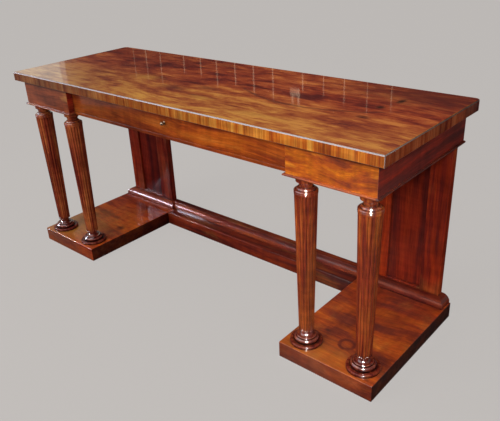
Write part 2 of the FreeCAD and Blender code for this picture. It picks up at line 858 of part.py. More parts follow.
def make_base_moulding():
    """Mitred mouldings round the front and sides of each pilaster's foot."""
    section = (platform_height, base_moulding_height, base_moulding_step, base_moulding_radius)
    front = pilaster_front - base_moulding_projection
    out = pilaster_out + base_moulding_projection
    inner = pilaster_in - base_moulding_projection
    high = platform_height + base_moulding_height
    runs = (
        ("base_moulding_front",
         moulding_run("front_run", "YZ_Plane", inner, out, pilaster_front, front, *section),
         [(inner, front), (out, front), (pilaster_out, pilaster_front), (pilaster_in, pilaster_front)]),
        ("base_moulding_outer",
         moulding_run("outer_run", "XZ_Plane", -platform_back, -front, pilaster_out, out, *section),
         [(out, front), (out, platform_back), (pilaster_out, platform_back), (pilaster_out, pilaster_front)]),
        ("base_moulding_inner",
         moulding_run("inner_run", "XZ_Plane", -pilaster_front, -front, pilaster_in, inner, *section),
         [(inner, front), (pilaster_in, pilaster_front), (inner, pilaster_front)]),
    )
    for name, run, plan in runs:
        trimmed = doc.addObject("Part::Common", name + "_mitred")
        trimmed.Base = run
        trimmed.Tool = prism(name + "_plan", plan, platform_height, high)
        both_ends(trimmed, name)


# ---------------------------------------------------------------- base

def dowel_places():
    middle = platform_back - plinth_rail_width / 2
    return [middle - dowel_spacing / 2, middle + dowel_spacing / 2]


def make_platform():
    """The plinth platform that an end stands on, bored for its columns and dowels."""
    body = prism("platform", [
        (platform_in, platform_front),
        (platform_out, platform_front),
        (platform_out, platform_back),
        (platform_in, platform_back),
    ], 0, platform_height)
    sockets = [(x, column_y, lower_tenon_radius + wood_clearance) for x in (column_x_in, column_x_out)]
    bore(body, "XY_Plane", platform_height, sockets, lower_tenon_length + wood_clearance)
    dowels = [(y, platform_height / 2, dowel_radius + wood_clearance) for y in dowel_places()]
    depth = dowel_length / 2 + wood_clearance
    bore(body, "YZ_Plane", platform_in + depth, dowels, depth)
    rear = platform_back.number - same_place
    soften(body, platform_edge_round, lambda p, e: (
        near(p.z, platform_height) and p.y < rear and e.Curve.TypeId == "Part::GeomLine"
    ) or (near(p.y, platform_front) and (near(p.x, platform_in) or near(p.x, platform_out))))
    both_ends(body, "platform")


def make_stretcher():
    """The rail between the platforms, and the moulded upstand on its back edge."""
    rail = box("plinth_blank", (-platform_in, platform_in),
               (platform_back - plinth_rail_width, platform_back), (0, platform_height))
    depth = dowel_length / 2 + wood_clearance
    holes = []
    for y in dowel_places():
        for x in (platform_in - depth, -platform_in):
            holes.append(rod("dowel_hole", dowel_radius + wood_clearance, depth,
                             x, y, platform_height / 2, along="x"))
    keep(cut("plinth_cut", rail, holes), "plinth_rail")
    dowels = []
    for y in dowel_places():
        for x in (platform_in, -platform_in):
            dowels.append(rod("dowel", dowel_radius, dowel_length, x - dowel_length / 2,
                              y, platform_height / 2, along="x"))
    keep(group("dowel_group", dowels), "plinth_dowels")
    top = platform_height + stretcher_height
    core = prism("stretcher_core_body", [
        (-pilaster_in, pilaster_front),
        (pilaster_in, pilaster_front),
        (pilaster_in, platform_back),
        (-pilaster_in, platform_back),
    ], platform_height, top)
    soften(core, stretcher_edge_round, lambda p, e: near(p.z, top) and near(p.x, 0))
    keep(core, "stretcher_upstand")
    end = pilaster_in - base_moulding_projection
    run = moulding_run("stretcher_run", "YZ_Plane", -end, end, pilaster_front,
                       pilaster_front - stretcher_moulding_projection, platform_height,
                       stretcher_moulding_height, stretcher_moulding_step, stretcher_moulding_radius)
    keep(run, "stretcher_moulding")


# ---------------------------------------------------------------- build and write

make_top_board()
make_crossbands()
make_frieze_box()
make_glue_blocks()
make_drawer_opening()
make_top_screws()
make_drawer()
make_knob()
make_columns()
make_pilaster()
make_base_moulding()
make_platform()
make_stretcher()
doc.recompute()

faults = []
for thing in doc.Objects:
    if "Invalid" in thing.State or "Error" in thing.State:
        faults.append(f"{thing.Name} ({thing.Label}) did not recompute")
for piece in pieces:
    if piece.Shape.isNull() or not piece.Shape.isValid() or not piece.Shape.Solids:
        faults.append(f"{piece.Label} has no valid solid")
if faults:
    raise RuntimeError("; ".join(faults))

os.makedirs("parts", exist_ok=True)
for piece in pieces:
    piece.Shape.exportStep(os.path.join("parts", piece.Label + ".step"))
    spans = piece.Shape.optimalBoundingBox()
    print(f"{piece.Label}: {len(piece.Shape.Solids)} solid(s), "
          f"{spans.XLength:.1f} x {spans.YLength:.1f} x {spans.ZLength:.1f} mm")
print(len(pieces), "sub-parts")
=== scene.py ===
# %% [markdown]
# # A mahogany pier table in its old polish
#
# The table's joinery is already made: every board, column and screw arrives as a separate piece at its
# real size. This script gives each of them its surface. It lays figured mahogany, oak, pine, brass and
# iron on the right pieces, softens the arrises that hands and dusters have worn, and sets up the camera,
# the floor and the lamps. Each step says what the thing is on a real table, how it could be made, and why
# it is made this way here.

# %% Bring in the joined table
import json
import math

import bmesh
import bpy
from mathutils import Matrix, Vector


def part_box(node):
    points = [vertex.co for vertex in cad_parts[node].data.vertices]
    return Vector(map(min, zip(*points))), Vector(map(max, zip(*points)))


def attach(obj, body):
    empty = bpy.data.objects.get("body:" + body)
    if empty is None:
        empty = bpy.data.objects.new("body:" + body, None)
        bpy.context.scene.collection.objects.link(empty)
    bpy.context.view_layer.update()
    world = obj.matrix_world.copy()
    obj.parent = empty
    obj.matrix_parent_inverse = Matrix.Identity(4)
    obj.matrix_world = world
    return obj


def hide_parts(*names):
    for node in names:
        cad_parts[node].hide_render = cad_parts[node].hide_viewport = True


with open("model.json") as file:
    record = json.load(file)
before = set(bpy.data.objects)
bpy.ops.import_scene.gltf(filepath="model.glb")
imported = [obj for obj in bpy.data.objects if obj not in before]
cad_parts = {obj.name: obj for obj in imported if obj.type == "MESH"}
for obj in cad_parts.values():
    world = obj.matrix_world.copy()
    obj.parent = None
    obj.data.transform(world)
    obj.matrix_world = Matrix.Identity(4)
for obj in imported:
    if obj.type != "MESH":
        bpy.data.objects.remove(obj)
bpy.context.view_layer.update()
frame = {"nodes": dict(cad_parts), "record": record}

nodes = frame["nodes"]
record = frame["record"]
scene = bpy.context.scene
MM = 0.001
ENDS = ("left", "right")

# %% [markdown]
# ## The camera
#
# A table is judged by its lines, so the camera stands where a person would: a little above the top and
# off its right front corner. The position and the three directions are plain numbers, which is easier to
# repeat exactly than a look-at constraint. Depth of field stays off, because a sharp table shows its
# grain from one end to the other.

# %% Stand the camera in front of the right corner
EYE_PLACE = Vector((1.7471, -1.7547, 1.5096))
EYE_RIGHT = Vector((0.75741, 0.65147, -0.04376))
EYE_UP = Vector((-0.25566, 0.35757, 0.89821))
EYE_BACK = Vector((0.6008, -0.66913, 0.43738))

lens = bpy.data.cameras.new("eye")
lens.sensor_width = 36.0
lens.lens = 43.34
lens.clip_end = 300.0
eye = bpy.data.objects.new("eye", lens)
scene.collection.objects.link(eye)
eye.matrix_world = Matrix((EYE_RIGHT, EYE_UP, EYE_BACK)).transposed().to_4x4()
eye.matrix_world.translation = EYE_PLACE
scene.camera = eye
scene.view_settings.view_transform = "Standard"
print("camera stands", round(EYE_PLACE.length, 2), "m from the middle of the table's footprint")

# %% [markdown]
# ## Short ways to write a material
#
# A wood finish is a few patterns laid over each other. Each pattern is a node or two, and writing every
# node out would hide the idea. So a small class keeps one material and has a short method for each kind
# of node that the finishes need. Where a value is the same all over, it is set on the shader's own
# socket, so that it also survives an export.

# %% A helper that builds finishes
class Finish:
    """One surface finish in the making: a material, and short ways to add nodes to it."""

    def __init__(self, name):
        self.material = bpy.data.materials.new(name)
        self.material.use_nodes = True
        self.nodes = self.material.node_tree.nodes
        self.links = self.material.node_tree.links
        self.shader = self.nodes["Principled BSDF"]
        coordinates = self.nodes.new("ShaderNodeTexCoord")
        self.place = coordinates.outputs["Object"]
        self.facing = coordinates.outputs["Normal"]

    @property
    def colour(self):
        """The colour laid so far."""
        return self.shader.inputs["Base Color"].links[0].from_socket

    def feed(self, socket, value):
        """Links another node's output to a socket, or sets a plain value on it."""
        if isinstance(value, bpy.types.NodeSocket):
            self.links.new(value, socket)
        else:
            socket.default_value = value

    def give(self, quality, value):
        """Gives the surface one of its qualities: a plain value or a pattern."""
        self.feed(self.shader.inputs[quality], value)

    def scaled(self, vector, scale, shift=(0.0, 0.0, 0.0)):
        """A copy of the place, stretched and shifted before a pattern reads it."""
        node = self.nodes.new("ShaderNodeMapping")
        self.feed(node.inputs["Vector"], vector)
        node.inputs["Scale"].default_value = scale
        node.inputs["Location"].default_value = shift
        return node.outputs["Vector"]

    def noise(self, vector, detail=3.0, roughness=0.5, output="Fac"):
        """Soft random variation with about one swing per unit of the place it reads."""
        node = self.nodes.new("ShaderNodeTexNoise")
        self.feed(node.inputs["Vector"], vector)
        node.inputs["Scale"].default_value = 1.0
        node.inputs["Detail"].default_value = detail
        node.inputs["Roughness"].default_value = roughness
        return node.outputs[output]

    def sum(self, operation, first, second=0.0):
        """One step of arithmetic on single values."""
        node = self.nodes.new("ShaderNodeMath")
        node.operation = operation
        self.feed(node.inputs[0], first)
        self.feed(node.inputs[1], second)
        return node.outputs[0]

    def vector_sum(self, operation, first, second=(0.0, 0.0, 0.0), output="Vector"):
        """One step of arithmetic on places and directions."""
        node = self.nodes.new("ShaderNodeVectorMath")
        node.operation = operation
        self.feed(node.inputs[0], first)
        self.feed(node.inputs[1], second)
        return node.outputs[output]

    def part(self, vector, axis):
        """One coordinate of a place."""
        node = self.nodes.new("ShaderNodeSeparateXYZ")
        self.feed(node.inputs[0], vector)
        return node.outputs[axis]

    def away(self, x, y, reach_x=1.0, reach_y=1.0):
        """How far a point lies from an upright line, where 1 is the reach along each axis."""
        scale = (1.0 / reach_x, 1.0 / reach_y, 0.0)
        shift = (-x / reach_x, -y / reach_y, 0.0)
        return self.vector_sum("LENGTH", self.scaled(self.place, scale, shift), output="Value")

    def spread(self, value, low, high, to_low=0.0, to_high=1.0):
        """Stretches the part of a value between low and high over a new range, with soft ends."""
        node = self.nodes.new("ShaderNodeMapRange")
        node.interpolation_type = "SMOOTHSTEP"
        self.feed(node.inputs["Value"], value)
        node.inputs["From Min"].default_value = low
        node.inputs["From Max"].default_value = high
        node.inputs["To Min"].default_value = to_low
        node.inputs["To Max"].default_value = to_high
        return node.outputs["Result"]

    def ramp(self, value, steps, tones):
        """Colours for a value: each tone stands at its own step."""
        node = self.nodes.new("ShaderNodeValToRGB")
        self.feed(node.inputs["Fac"], value)
        elements = node.color_ramp.elements
        while len(elements) < len(tones):
            elements.new(1.0)
        for element, step, tone in zip(elements, steps, tones):
            element.position = step
            element.color = (*tone, 1.0)
        return node.outputs["Color"]

    def mixed(self, share, first, second, kind="MIX"):
        """Two colours mixed: a share of 1 is all of the second, or the whole tint when they multiply."""
        node = self.nodes.new("ShaderNodeMix")
        node.data_type = "RGBA"
        node.blend_type = kind
        sockets = {socket.identifier: socket for socket in (*node.inputs, *node.outputs)}
        self.feed(sockets["Factor_Float"], share)
        for name, colour in (("A_Color", first), ("B_Color", second)):
            self.feed(sockets[name], (*colour, 1.0) if isinstance(colour, tuple) else colour)
        return sockets["Result_Color"]

    def hollows(self, reach):
        """How much of a hollow a point lies in: 0 on open ground, towards 1 in a groove."""
        node = self.nodes.new("ShaderNodeAmbientOcclusion")
        node.samples = 6
        node.inputs["Distance"].default_value = reach
        return self.sum("SUBTRACT", 1.0, node.outputs["AO"])

    def bump(self, height, strength, distance):
        """A relief too fine to model."""
        node = self.nodes.new("ShaderNodeBump")
        self.feed(node.inputs["Height"], height)
        node.inputs["Strength"].default_value = strength
        node.inputs["Distance"].default_value = distance
        return node.outputs["Normal"]

    def polish(self, film, gloss, body):
        """A film of polish over the wood: how much of it is left, how blurred, and the wood's own sheen."""
        self.give("Coat Weight", film)
        self.give("Coat Roughness", gloss)
        self.give("Coat IOR", 1.5)
        self.give("Specular IOR Level", body)


print("the finish helper is ready")

# %% [markdown]
# ## How mahogany is put together
#
# Polished mahogany shows four things at once. Broad streaks run along the grain and wander a little, as
# the tree grew. Darker clouds and golden lights lie across them, where the fibres lean towards or away
# from the eye. Fine fibres and pores run everywhere. Over it all lies a thin film of shellac, never quite
# flat, which gives the reflections. A printed picture of a board could be wrapped on, but it would
# stretch at the edges and repeat. Here every pattern is drawn in the space of the board itself, so the
# figure runs through from the face to the edge, as in solid wood.

# %% Patterns that every wood shares
def along_grain(grain, along, across):
    """A scale for each axis, drawn out along the grain: swings per metre."""
    scale = [across, across, across]
    scale["XYZ".index(grain)] = along
    return tuple(scale)


def wandering_place(f, swings, push, shift=(0.0, 0.0, 0.0)):
    """The place, pushed a little to either side, so that the grain wanders."""
    drift = f.noise(f.scaled(f.place, (swings,) * 3, shift), 2.0, 0.5, "Color")
    sway = f.vector_sum("SUBTRACT", drift, (0.5, 0.5, 0.5))
    return f.vector_sum("ADD", f.place, f.vector_sum("MULTIPLY", sway, push))


def open_pores(f, place, grain, shift=(0.0, 0.0, 0.0)):
    """Short fine dashes along the grain: 1 in a pore and 0 beside it."""
    return f.spread(f.noise(f.scaled(place, along_grain(grain, 60.0, 1100.0), shift), 1.0), 0.66, 0.74)


def raise_grain(f, fibres, pores):
    """Lets the fibres stand a little proud and the pores lie open."""
    f.give("Normal", f.bump(f.sum("SUBTRACT", fibres, pores), 0.25, 0.2 * MM))


def roll_film(f, swings, strength, shift=(0.0, 0.0, 0.0)):
    """Polish rubbed on by hand is never quite flat, so what it mirrors ripples a little."""
    rolling = f.noise(f.scaled(f.place, (swings,) * 3, shift), 2.0)
    f.give("Coat Normal", f.bump(rolling, strength, 1.2 * MM))


print("grain, pores and film are ready")

# %% The recipe for mahogany
STREAK_STEPS = (0.35, 0.44, 0.50, 0.57, 0.66)
CLOUD_TINT = (0.42, 0.30, 0.36)
RIPPLE_DEPTH, BAND_DEPTH, FIBRE_DEPTH, PORE_DEPTH = 0.12, 0.14, 0.16, 0.35
HOLLOW_DUST_AND_SHADE_REACH = 12 * MM


def mahogany(name, grain, tones, seed=0.0, along=1.6, across=30.0, wander=0.05, drift=1.3,
             cloud=0.5, cloud_scale=(3.0, 9.0), light=0.35, light_tone=(0.60, 0.26, 0.06),
             film=0.55, gloss=0.10, body=0.25, hollow_dust_and_shade=0.0, hollow_dust_and_shade_span=(0.10, 0.62), end_grain=0.0):
    """A mahogany finish. Tones run from dark to light; the rest says how strongly each pattern shows."""
    f = Finish(name)
    shift = (seed, seed * 0.7, seed * 1.3)
    place = wandering_place(f, drift, (wander,) * 3, shift)

    def figure(swings_along, swings_across, detail, roughness=0.5):
        """A pattern drawn out along the grain."""
        scale = along_grain(grain, swings_along, swings_across)
        return f.noise(f.scaled(place, scale, shift), detail, roughness)

    streaks = figure(along, across, 7.0, 0.66)
    colour = f.ramp(streaks, STREAK_STEPS, tones)
    clouds = figure(*cloud_scale, 4.0, 0.6)
    colour = f.mixed(f.spread(clouds, 0.50, 0.68, 0.0, cloud), colour, CLOUD_TINT, "MULTIPLY")
    colour = f.mixed(f.spread(clouds, 0.47, 0.33, 0.0, light), colour, light_tone)

    ripple = figure(34.0, 7.0, 2.0)
    bands = figure(4.5, 150.0, 3.0, 0.7)
    fibres = figure(7.0, 420.0, 3.0, 0.7)
    pores = open_pores(f, place, grain, shift)
    shade = f.sum("SUBTRACT", 1.0, f.sum("MULTIPLY", pores, PORE_DEPTH))
    for pattern, low, high, depth in ((ripple, 0.35, 0.65, RIPPLE_DEPTH), (bands, 0.35, 0.65, BAND_DEPTH),
                                      (fibres, 0.30, 0.70, FIBRE_DEPTH)):
        shade = f.sum("MULTIPLY", shade, f.spread(pattern, low, high, 1.0 - depth, 1.0 + depth))
    # Hollows are darkened by how little sky a point sees: partly old dust, partly painted shade.
    if hollow_dust_and_shade:
        dust_and_shade_in_hollows = f.spread(f.hollows(HOLLOW_DUST_AND_SHADE_REACH), *hollow_dust_and_shade_span, 1.0, 1.0 - hollow_dust_and_shade)
        shade = f.sum("MULTIPLY", shade, dust_and_shade_in_hollows)
    if end_grain:
        lean = f.sum("ABSOLUTE", f.part(f.facing, grain))
        shade = f.sum("MULTIPLY", shade, f.spread(lean, 0.6, 0.9, 1.0, 1.0 - end_grain))
    f.give("Base Color", f.mixed(1.0, colour, shade, "MULTIPLY"))

    f.give("Roughness", f.spread(streaks, 0.3, 0.7, 0.50, 0.32))
    raise_grain(f, fibres, pores)
    roll_film(f, 7.0, 0.30, shift)
    f.polish(film, gloss, body)
    return f


print("mahogany recipe ready")

# %% [markdown]
# ## The top
#
# The top is the showpiece: a long board with a lively flame figure, golden where the light of two hundred
# years fell on it and redder towards the wall. Three dark knots sit near the right end. A plain streak
# pattern would look like stained pine, so the top gets strong clouds and lights, and the knots are placed
# one by one, each as a soft dark spot drawn out along the grain.

# %% The top's flame figure
FLAME_LADDER = ((0.088, 0.011, 0.008), (0.165, 0.025, 0.011), (0.236, 0.042, 0.013), (0.302, 0.070, 0.017),
                (0.390, 0.112, 0.024), (0.485, 0.184, 0.038), (0.640, 0.300, 0.058))
LADDER_STEPS = (0.55, 0.59, 0.625, 0.66, 0.70, 0.745, 0.80)


def figured_top():
    """The flame figure of the top: blotches drawn out along the board, golden in front, red behind."""
    f = Finish("top_figured_mahogany")
    place = wandering_place(f, 2.2, (0.14, 0.07, 0.0))
    zones = f.noise(f.scaled(place, (2.4, 7.0, 7.0), (0.6, 0.3, 0.0)), 3.0, 0.5)
    blotches = f.noise(f.scaled(place, (8.0, 22.0, 22.0), (3.1, 2.2, 0.0)), 6.0, 0.62)
    streaks = f.noise(f.scaled(place, (8.0, 75.0, 75.0), (1.3, 0.4, 0.0)), 5.0, 0.66)
    lines = f.noise(f.scaled(place, (14.0, 190.0, 190.0)), 3.0, 0.7)
    level = f.spread(f.part(f.place, "Y"), -0.31, 0.12, 0.012, -0.050)
    for pattern, weight in ((zones, 0.35), (blotches, 0.50), (streaks, 0.34), (lines, 0.24)):
        level = f.sum("ADD", level, f.sum("MULTIPLY", pattern, weight))
    pores = open_pores(f, place, "X")
    colour = f.ramp(level, LADDER_STEPS, FLAME_LADDER)
    f.give("Base Color", f.mixed(f.sum("MULTIPLY", pores, 0.3), colour, FLAME_LADDER[0]))
    f.give("Roughness", f.spread(level, 0.5, 0.9, 0.46, 0.32))
    raise_grain(f, lines, pores)
    roll_film(f, 5.0, 0.12)
    f.polish(0.55, 0.05, 0.2)
    return f


top = figured_top()
print("flame figure in", len(FLAME_LADDER), "tones")

# %% [markdown]
# ## Knots, clouds, veins and tinted sides
#
# On the figure lie the things that make this board itself. A knot, a cloud or a golden light is a soft
# spot: its middle and its reach along X and Y are given in metres, then how strongly it shows. One dark
# vein bows through the middle. Last, one side is multiplied by a tint, which grows from one place to
# another along an axis; on several pieces this tint is painted shade. All of these are helpers, because the
# other boards need them too.

# %% Helpers for marks and tinted sides
def add_spots(finish, spots, tone, ragged=0.7):
    """Soft spots on a level face: each is a middle, a reach along X and Y, and a depth."""
    colour = finish.colour
    edge = finish.noise(finish.scaled(finish.place, (22.0, 60.0, 60.0)), 3.0)
    for x, y, reach_x, reach_y, depth in spots:
        distance = finish.away(x, y, reach_x, reach_y)
        distance = finish.sum("ADD", distance, finish.sum("MULTIPLY", edge, ragged))
        colour = finish.mixed(finish.spread(distance, 0.45, 1.45, depth, 0.0), colour, tone)
    finish.give("Base Color", colour)


def add_vein(finish, middle, bottom, curl, reach, width, tone, depth):
    """A dark vein that runs along a bow: its lowest point, how fast it curls up, and how far it runs."""
    uneven = finish.noise(finish.scaled(finish.place, (12.0, 40.0, 40.0)), 3.0)
    along = finish.sum("SUBTRACT", finish.part(finish.place, "X"), middle)
    bow = finish.sum("MULTIPLY", finish.sum("MULTIPLY", along, along), curl)
    across = finish.sum("SUBTRACT", finish.sum("SUBTRACT", finish.part(finish.place, "Y"), bottom), bow)
    across = finish.sum("ADD", across, finish.sum("MULTIPLY", finish.sum("SUBTRACT", uneven, 0.5), 0.03))
    share = finish.sum("MULTIPLY", finish.spread(finish.sum("ABSOLUTE", across), 0.0, width, depth, 0.0),
                       finish.spread(finish.sum("ABSOLUTE", along), reach * 0.6, reach, 1.0, 0.0))
    finish.give("Base Color", finish.mixed(share, finish.colour, tone))


def shade_towards(finish, axis, start, end, tint):
    """Tints one side of a piece, growing from start to end along an axis."""
    share = finish.spread(finish.part(finish.place, axis), start, end)
    finish.give("Base Color", finish.mixed(share, finish.colour, tint, "MULTIPLY"))


def shade_facing(finish, axis, start, end, tint):
    """Tints the faces that look along an axis, growing from start to end of their lean."""
    lean = finish.sum("ABSOLUTE", finish.part(finish.facing, axis))
    share = finish.spread(lean, start, end)
    finish.give("Base Color", finish.mixed(share, finish.colour, tint, "MULTIPLY"))


print("helpers for marks ready")

# %% The top's own marks
KNOT_TONE = (0.020, 0.008, 0.006)
CLOUD_TONE = (0.090, 0.016, 0.013)
GOLD_TONE = (0.50, 0.235, 0.045)
TOP_KNOTS = ((0.774, 0.160, 0.018, 0.040, 0.95), (0.746, 0.060, 0.022, 0.026, 0.95),
             (0.754, -0.070, 0.035, 0.020, 0.60))
TOP_CLOUDS = ((-0.09, -0.135, 0.12, 0.050, 0.75), (0.04, -0.070, 0.11, 0.040, 0.60),
              (-0.60, 0.040, 0.10, 0.060, 0.50), (-0.62, -0.110, 0.13, 0.035, 0.40),
              (-0.17, 0.270, 0.10, 0.030, 0.60), (0.45, 0.020, 0.10, 0.030, 0.40),
              (0.84, 0.260, 0.64, 0.280, 0.75))
TOP_LIGHTS = ((-0.34, -0.070, 0.14, 0.060, 0.60), (0.12, -0.185, 0.10, 0.030, 0.75),
              (-0.60, -0.240, 0.10, 0.030, 0.45), (0.45, -0.240, 0.22, 0.030, 0.45))
TOWARDS_WALL, TOWARDS_LEFT, TOWARDS_RIGHT = (1.04, 0.67, 0.82), (0.70, 0.66, 0.85), (0.96, 0.82, 0.86)

shade_towards(top, "Y", -0.26, 0.12, TOWARDS_WALL)
shade_towards(top, "X", 0.05, -0.60, TOWARDS_LEFT)
shade_towards(top, "X", 0.10, 0.80, TOWARDS_RIGHT)
add_spots(top, TOP_LIGHTS, GOLD_TONE, ragged=1.0)
add_spots(top, TOP_CLOUDS, CLOUD_TONE, ragged=1.0)
add_vein(top, middle=0.47, bottom=-0.082, curl=0.95, reach=0.42, width=12 * MM, tone=CLOUD_TONE, depth=0.7)
add_spots(top, TOP_KNOTS, KNOT_TONE)
print("knots:", len(TOP_KNOTS), "clouds:", len(TOP_CLOUDS), "lights:", len(TOP_LIGHTS))

# %% [markdown]
# ## Crossbanding
#
# The edge of the top is banded with strips whose grain stands upright, so a row of short golden and brown
# stripes runs along it. It is the same recipe with the grain turned to Z. The across scale sets the
# width of a stripe, about 15 mm. The banding is darker towards the left and at the back, and its end
# faces carry painted shade. The worn arris above it is made here too: dull brown wood under a thick film
# of polish, which has been rubbed thinner at the right-hand end.

# %% The crossbanding's finish
BAND_TONES = ((0.205, 0.029, 0.003), (0.344, 0.075, 0.006), (0.415, 0.120, 0.012),
              (0.478, 0.179, 0.024), (0.558, 0.256, 0.042))
crossband = mahogany("crossband_mahogany", "Z", BAND_TONES, seed=5.2, along=2.0, across=46.0, wander=0.01,
                     cloud=0.55, cloud_scale=(2.0, 12.0), light=0.3, light_tone=(0.66, 0.30, 0.05),
                     film=0.25, gloss=0.14, body=0.04)
shade_towards(crossband, "X", 0.75, -0.6, (0.31, 0.29, 0.60))
# Painted shade: the end faces are darker.
shade_facing(crossband, "X", 0.5, 0.8, (0.54, 0.35, 0.80))
shade_towards(crossband, "Y", 0.14, 0.32, (0.42, 0.32, 0.60))

ARRIS_TONES = ((0.070, 0.038, 0.030), (0.085, 0.046, 0.038), (0.100, 0.055, 0.045),
               (0.120, 0.066, 0.054), (0.145, 0.080, 0.064))
arris = mahogany("worn_arris", "X", ARRIS_TONES, film=1.0, gloss=0.20, body=0.5, cloud=0.1,
                 light=0.1, light_tone=(0.30, 0.17, 0.12))
right_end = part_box("top_board")[1].x
arris.give("Coat Weight", arris.spread(arris.part(arris.place, "X"), right_end - 6 * MM, right_end - 2 * MM,
                                       1.0, 0.4))
print("crossbanding ready")

# %% [markdown]
# ## Frieze, drawer and bearer
#
# The drawer front and the two boxes at its sides are veneered with richer wood: flowing along the drawer,
# and flaming across the right-hand box. A cabinet maker picks a different leaf for each, so each gets its
# own seed and its own tones, and none of them matches by accident. Close under the top, all of them carry
# a painted shadow of its overhang, and the thin nosing carries painted shade where it runs along the ends.

# %% The frieze's finishes
DRAWER_TONES = ((0.150, 0.020, 0.003), (0.235, 0.037, 0.004), (0.308, 0.056, 0.005),
                (0.371, 0.078, 0.006), (0.420, 0.109, 0.012))
FLAME_TONES = ((0.160, 0.019, 0.002), (0.263, 0.040, 0.002), (0.350, 0.064, 0.003),
               (0.436, 0.100, 0.004), (0.585, 0.166, 0.006))
BROWN_TONES = ((0.080, 0.015, 0.006), (0.110, 0.023, 0.008), (0.135, 0.029, 0.010),
               (0.165, 0.036, 0.012), (0.210, 0.045, 0.015))
END_TONES = ((0.075, 0.006, 0.004), (0.105, 0.008, 0.005), (0.160, 0.012, 0.006),
             (0.225, 0.017, 0.007), (0.300, 0.022, 0.008))

drawer_veneer = mahogany("drawer_veneer", "X", DRAWER_TONES, seed=7.7, along=2.2, across=22.0, wander=0.12,
                         cloud=0.4, cloud_scale=(3.0, 16.0), light=0.3, light_tone=(0.44, 0.11, 0.008),
                         film=0.42, gloss=0.12, body=0.04)
shade_towards(drawer_veneer, "X", 0.4, -0.4, (0.48, 0.47, 0.95))
flame_veneer = mahogany("flame_veneer", "X", FLAME_TONES, seed=1.9, along=4.0, across=26.0, wander=0.16,
                        drift=2.0, cloud=0.45, cloud_scale=(5.0, 22.0), light=0.4,
                        light_tone=(0.80, 0.31, 0.02), film=0.45, gloss=0.14, body=0.08)
brown_veneer = mahogany("brown_veneer", "X", BROWN_TONES, seed=2.4, along=3.0, across=30.0, wander=0.10,
                        cloud=0.4, film=0.36, gloss=0.14, body=0.04)
end_veneer = mahogany("end_veneer", "Y", END_TONES, seed=9.3, along=2.0, across=28.0, wander=0.05,
                      cloud=0.5, light=0.2, light_tone=(0.26, 0.06, 0.018), film=0.35, gloss=0.2, body=0.1)
shade_towards(end_veneer, "Y", 0.10, 0.28, (0.66, 0.62, 0.85))
under_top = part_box("top_board")[0].z
# Painted shadow of the top's overhang: a dark band close under the top.
for finish in (drawer_veneer, flame_veneer, brown_veneer, end_veneer):
    shade_towards(finish, "Z", under_top - 24 * MM, under_top - 10 * MM, (0.40, 0.34, 0.60))

# Painted shade: each nosing darkens where it runs past the end of its box.
box_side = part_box("right_frieze_front")[1].x
nosings = {}
for end, side, tones in (("left", -1.0, BROWN_TONES), ("right", 1.0, FLAME_TONES)):
    nosings[end] = mahogany(end + "_nosing_veneer", "X", tones, seed=3.7, along=3.0, across=26.0,
                            wander=0.10, cloud=0.4, film=0.2, gloss=0.2, body=0.1)
    shade_towards(nosings[end], "X", side * (box_side - 6 * MM), side * (box_side + MM), (0.22, 0.11, 0.6))
print("frieze finishes ready")

# %% [markdown]
# ## Columns
#
# The columns are cut from straight-grained, darker red wood, and two centuries of polish and dust have
# settled in every hollow. Every hollow is darkened by how little sky a point sees within a centimetre,
# partly for that dust and partly as painted shade, which darkens the valleys between the reeds and the
# quirks of the turnings without placing any of them one by one. The film of polish is thickest on the
# turned necks and feet, which the lathe has burnished, thinner on the reeds, and nearly gone where the mop
# goes round the base.

# %% The columns' finish
RED_TONES = ((0.100, 0.010, 0.004), (0.175, 0.019, 0.006), (0.245, 0.037, 0.009),
             (0.335, 0.069, 0.014), (0.460, 0.130, 0.022))
column = mahogany("column_mahogany", "Z", RED_TONES, seed=4.4, along=2.4, across=60.0, wander=0.02,
                  cloud=0.45, light=0.3, light_tone=(0.46, 0.13, 0.020), film=0.8, gloss=0.10, body=0.02,
                  hollow_dust_and_shade=0.92, hollow_dust_and_shade_span=(0.04, 0.46))
platform_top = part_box("left_platform")[1].z
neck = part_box("left_nosing_board")[0].z - 62 * MM
height = column.part(column.place, "Z")
base_to_foot = column.spread(height, platform_top + 13 * MM, platform_top + 19 * MM, 0.25, 1.0)
foot_to_reeds = column.spread(height, platform_top + 59 * MM, platform_top + 74 * MM, 1.0, 0.6)
reeds_to_neck = column.spread(height, neck, neck + 10 * MM)
below_neck = column.sum("MULTIPLY", base_to_foot, foot_to_reeds)
column.give("Coat Weight", column.sum("MAXIMUM", below_neck, reeds_to_neck))
shade_towards(column, "X", 0.3, -0.5, (0.76, 0.84, 1.25))
shade_towards(column, "Z", platform_top + 84 * MM, platform_top + 34 * MM, (0.62, 0.52, 0.90))
print("column finish ready, neck at", round(neck, 3), "m")

# %% [markdown]
# ## Pilasters, mouldings and plinth
#
# The framed and moulded pieces at the back are the same dark red wood, with the grain along each stile,
# panel and moulding. They stand in the shade of the top, so their polish has stayed dull. Only the
# moulding at the left is rubbed bright, near the corner where it meets the platform, so its film swells
# there and fades along the stretcher.

# %% The finishes of framed and moulded wood
STILE_TONES = ((0.087, 0.006, 0.003), (0.145, 0.010, 0.004), (0.213, 0.017, 0.004),
               (0.281, 0.025, 0.005), (0.343, 0.037, 0.006))
PANEL_TONES = ((0.065, 0.004, 0.002), (0.106, 0.007, 0.003), (0.150, 0.011, 0.003),
               (0.193, 0.015, 0.004), (0.236, 0.022, 0.005))
PLINTH_TONES = ((0.050, 0.005, 0.003), (0.085, 0.008, 0.004), (0.125, 0.013, 0.005),
                (0.165, 0.020, 0.006), (0.210, 0.030, 0.008))
MOULDING_TONES = ((0.064, 0.006, 0.003), (0.110, 0.011, 0.005), (0.146, 0.018, 0.006),
                  (0.200, 0.032, 0.010), (0.270, 0.060, 0.016))

